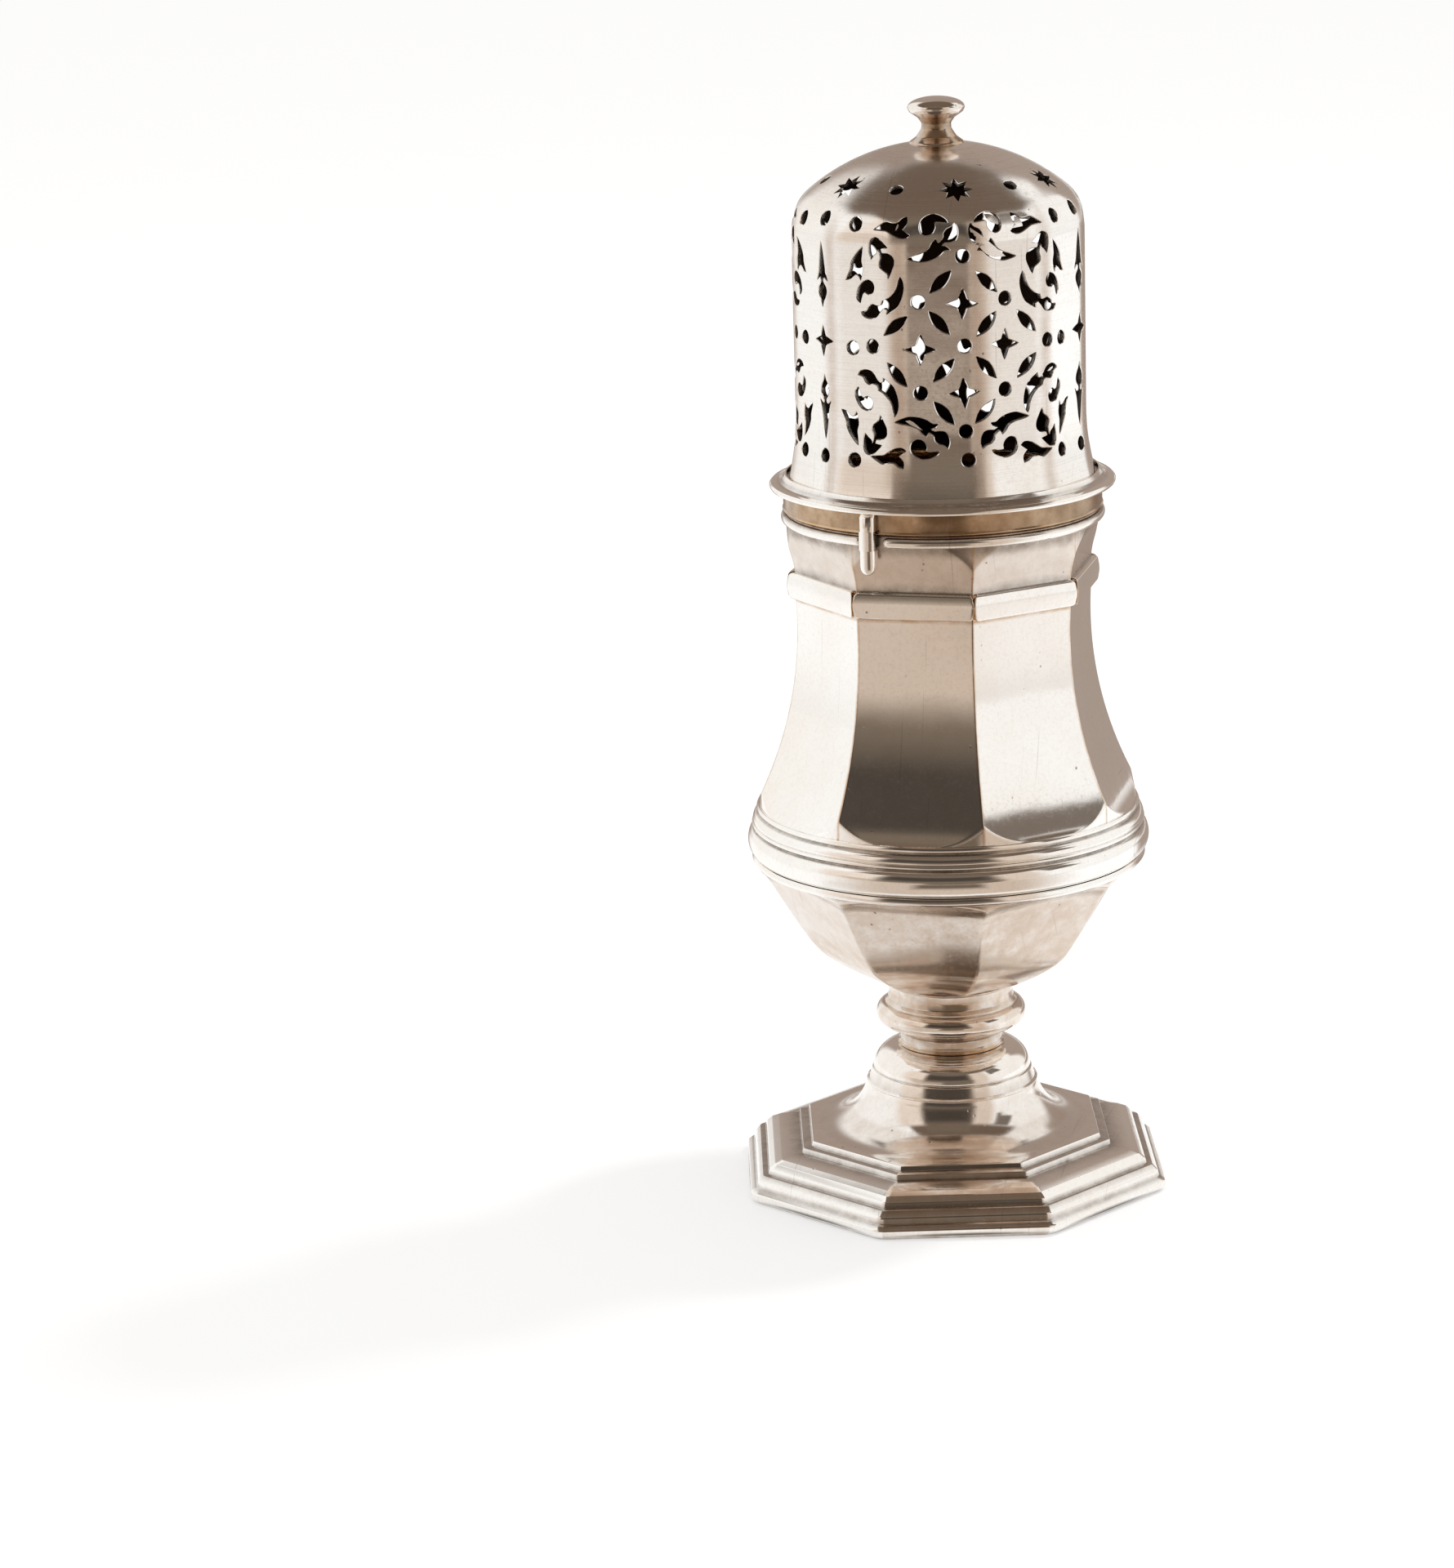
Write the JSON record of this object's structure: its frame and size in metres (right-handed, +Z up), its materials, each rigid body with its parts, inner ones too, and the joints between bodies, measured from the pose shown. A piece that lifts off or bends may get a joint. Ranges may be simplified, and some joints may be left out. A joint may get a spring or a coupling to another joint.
{
  "type": "sugar caster",
  "caption": "Octagonal baluster sugar caster in old silver: stepped foot, knopped stem, faceted body with a girdle, and a domed pierced cover that locks with bayonet lugs.",
  "frame": {"origin": "middle of the foot's underside, on the table", "axes": "+Z up along the caster's axis; -Y is the front flat of the body; the foot is turned 15 degrees against the body"},
  "size_m": [0.0822, 0.0822, 0.1998],
  "materials": {
    "polished_silver": "old polished silver, warm, with fine scratches and small pits",
    "brushed_silver": "old silver with fine lines brushed round the cover",
    "cast_silver": "cast silver with softened edges, pits and light brown tarnish",
    "tarnished_silver": "silver with golden brown tarnish"
  },
  "bodies": {
    "vase": {"foot": "cast_silver", "stem_knop": "cast_silver", "bowl": "polished_silver", "girdle_moulding": "polished_silver", "upper_body": "polished_silver", "neck_strip_1": "polished_silver", "neck_strip_2": "polished_silver", "neck_strip_3": "polished_silver", "neck_strip_4": "polished_silver", "neck_strip_5": "polished_silver", "neck_strip_6": "polished_silver", "neck_strip_7": "polished_silver", "neck_strip_8": "polished_silver", "rim_wire_1": "polished_silver", "rim_wire_2": "polished_silver"},
    "sleeve": {"cover_sleeve": "tarnished_silver"},
    "cover": {"cover_band": "tarnished_silver", "cover_flange": "polished_silver", "pierced_cover": "brushed_silver", "finial": "cast_silver", "bayonet_lug_1": "polished_silver", "bayonet_lug_2": "polished_silver"}
  },
  "joints": [
    {"name": "cover_lift", "type": "slide", "parent": "vase", "child": "sleeve", "axis": [0, 0, 1], "range_m": [0, 0.09]},
    {"name": "cover_twist", "type": "hinge", "parent": "sleeve", "child": "cover", "pos_m": [0, 0, 0.13], "axis": [0, 0, 1], "continuous": true}
  ]
}
